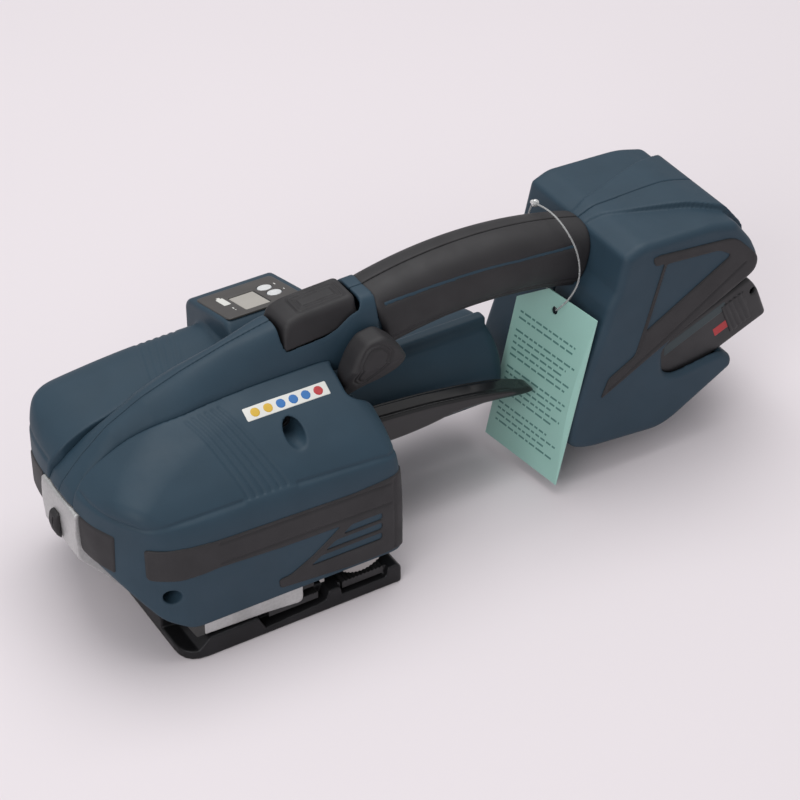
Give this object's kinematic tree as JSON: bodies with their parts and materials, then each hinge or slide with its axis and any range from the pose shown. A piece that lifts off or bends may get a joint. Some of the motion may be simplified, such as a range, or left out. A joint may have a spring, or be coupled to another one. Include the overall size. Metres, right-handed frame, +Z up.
{
  "type": "battery strapping tool",
  "caption": "Cordless hand tool that tensions, friction-welds and cuts plastic strap: base plate, strapping head, arched handle over a motor cover, slide-in battery at the rear.",
  "frame": {"origin": "underside of the base plate, at the middle of its length, on the plane where the two body halves meet", "axes": "+X along the tool from the nose to the battery, +Z up; the strap goes in from the -Y side"},
  "size_m": [0.3767, 0.1258, 0.1377],
  "materials": {
    "black_steel": "black oxide, satin",
    "tool_steel": "hardened and ground",
    "bright_steel": "turned and polished",
    "zinc_steel": "zinc plated",
    "motor_steel": "rolled steel can",
    "cast_alloy": "die cast, fine blasted",
    "teal_plastic": "fine spark texture",
    "black_plastic": "satin moulded",
    "gloss_black": "polished moulded",
    "black_rubber": "soft overmoulded elastomer",
    "panel_film": "printed polyester film",
    "display_glass": "frosted display window",
    "white_key": "moulded key",
    "circuit_board": "solder mask",
    "battery_plastic": "fine spark texture",
    "cell_metal": "sleeved cells",
    "mint_card": "coated card",
    "clear_nylon": "translucent nylon"
  },
  "bodies": {
    "housing": {"base_plate": "black_steel", "body_shell_far": "teal_plastic", "body_shell_near": "teal_plastic", "button_spring": "bright_steel", "button_switch": "black_plastic", "control_board": "circuit_board", "cover_screws": "zinc_steel", "display_window": "display_glass", "drive_bearing": "bright_steel", "frame_screws": "zinc_steel", "gear_frame": "cast_alloy", "gearbox_housing": "cast_alloy", "grip_far": "black_rubber", "grip_near": "black_rubber", "gripper_insert": "tool_steel", "hang_tag": "mint_card", "head_cover_far": "teal_plastic", "head_cover_near": "teal_plastic", "loop_clasp": "clear_nylon", "main_board": "circuit_board", "motor_cover": "teal_plastic", "nose_lug": "black_steel", "nose_pads": "black_rubber", "nose_plate": "cast_alloy", "panel_overlay": "panel_film", "rear_stripes": "black_rubber", "rocker_shaft": "bright_steel", "side_bumpers": "black_rubber", "tag_loop": "clear_nylon", "tension_motor_can": "motor_steel", "terminal_block": "black_plastic", "weld_anvil": "tool_steel", "weld_belt": "black_rubber", "weld_lever_pin": "bright_steel", "weld_motor_can": "motor_steel"},
    "tension_rocker": {"tension_rocker": "cast_alloy", "rocker_lever": "gloss_black"},
    "tension_wheel": {"tension_wheel": "tool_steel", "wheel_shaft": "bright_steel", "wheel_gear": "tool_steel"},
    "drive_train": {"drive_gear": "tool_steel", "bevel_gear": "tool_steel"},
    "gearbox_output": {"bevel_pinion": "tool_steel"},
    "tension_rotor": {"tension_motor_rotor": "motor_steel"},
    "weld_rotor": {"weld_motor_rotor": "motor_steel", "motor_pulley": "bright_steel"},
    "weld_lever": {"weld_lever": "black_plastic"},
    "weld_carrier": {"weld_carrier": "cast_alloy"},
    "eccentric": {"eccentric_shaft": "bright_steel", "eccentric_pulley": "bright_steel"},
    "weld_shoe": {"weld_shoe": "tool_steel"},
    "cutter": {"cutter_blade": "tool_steel"},
    "tension_button": {"tension_button": "black_plastic"},
    "set_key": {"set_key": "white_key"},
    "mode_key": {"mode_key": "white_key"},
    "battery": {"battery_case": "battery_plastic", "battery_lid": "battery_plastic", "battery_cells": "cell_metal"},
    "latch_near": {"battery_latch_near": "battery_plastic"},
    "latch_far": {"battery_latch_far": "battery_plastic"}
  },
  "joints": [
    {"name": "rocker_hinge", "type": "hinge", "parent": "housing", "child": "tension_rocker", "pos_m": [0.006, -0.014, 0.048], "axis": [0, -1, 0], "range_deg": [0, 10], "stiffness_Nm_per_rad": 6, "springref_deg": -20.05},
    {"name": "tension_wheel_spin", "type": "hinge", "parent": "tension_rocker", "child": "tension_wheel", "pos_m": [0.0368, -0.05, 0.0286], "axis": [0, 1, 0], "continuous": true},
    {"name": "drive_gear_spin", "type": "hinge", "parent": "tension_rocker", "child": "drive_train", "pos_m": [0.006, 0, 0.048], "axis": [0, 1, 0], "continuous": true},
    {"name": "gearbox_output_spin", "type": "hinge", "parent": "housing", "child": "gearbox_output", "pos_m": [0.03, 0.022, 0.048], "axis": [1, 0, 0], "continuous": true},
    {"name": "tension_motor_spin", "type": "hinge", "parent": "housing", "child": "tension_rotor", "pos_m": [0.113, 0.022, 0.048], "axis": [1, 0, 0], "continuous": true},
    {"name": "weld_motor_spin", "type": "hinge", "parent": "housing", "child": "weld_rotor", "pos_m": [-0.048, -0.026, 0.058], "axis": [1, 0, 0], "continuous": true},
    {"name": "weld_lever_hinge", "type": "hinge", "parent": "housing", "child": "weld_lever", "pos_m": [0.05, -0.024, 0.084], "axis": [0, 1, 0], "range_deg": [0, 20], "stiffness_Nm_per_rad": 0.4, "springref_deg": -14.32},
    {"name": "weld_press", "type": "slide", "parent": "housing", "child": "weld_carrier", "axis": [0, 0, -1], "range_m": [0, 0.002]},
    {"name": "eccentric_spin", "type": "hinge", "parent": "weld_carrier", "child": "eccentric", "pos_m": [-0.005, -0.0485, 0.034], "axis": [1, 0, 0], "continuous": true},
    {"name": "weld_vibration", "type": "slide", "parent": "weld_carrier", "child": "weld_shoe", "axis": [0, 1, 0], "range_m": [-0.001, 0.001], "stiffness_N_per_m": 2000},
    {"name": "cutter_press", "type": "slide", "parent": "housing", "child": "cutter", "axis": [0, 0, -1], "range_m": [0, 0.002]},
    {"name": "tension_button_press", "type": "slide", "parent": "housing", "child": "tension_button", "axis": [0, 0, -1], "range_m": [0, 0.003], "stiffness_N_per_m": 800, "springref_m": -0.002, "deforming": ["button_spring"]},
    {"name": "set_key_press", "type": "slide", "parent": "housing", "child": "set_key", "axis": [0, -0.2588, -0.9659], "range_m": [0, 0.0005], "stiffness_N_per_m": 1500, "springref_m": -0.0005},
    {"name": "mode_key_press", "type": "slide", "parent": "housing", "child": "mode_key", "axis": [0, -0.2588, -0.9659], "range_m": [0, 0.0005], "stiffness_N_per_m": 1500, "springref_m": -0.0005},
    {"name": "battery_slide", "type": "slide", "parent": "housing", "child": "battery", "axis": [0.9272, 0, 0.3746], "range_m": [0, 0.11]},
    {"name": "latch_near_press", "type": "slide", "parent": "battery", "child": "latch_near", "axis": [0, 1, 0], "range_m": [0, 0.0015], "stiffness_N_per_m": 1200, "springref_m": -0.001},
    {"name": "latch_far_press", "type": "slide", "parent": "battery", "child": "latch_far", "axis": [0, -1, 0], "range_m": [0, 0.0015], "stiffness_N_per_m": 1200, "springref_m": -0.001}
  ],
  "couplings": [
    {"joint": "tension_wheel_spin", "follows": "drive_gear_spin", "ratio": -1.8},
    {"joint": "gearbox_output_spin", "follows": "drive_gear_spin", "ratio": 2},
    {"joint": "tension_motor_spin", "follows": "drive_gear_spin", "ratio": 24},
    {"joint": "eccentric_spin", "follows": "weld_motor_spin", "ratio": 1},
    {"joint": "weld_press", "follows": "weld_lever_hinge", "m_per_rad": 0.0057},
    {"joint": "cutter_press", "follows": "weld_lever_hinge", "m_per_rad": 0.0057}
  ]
}
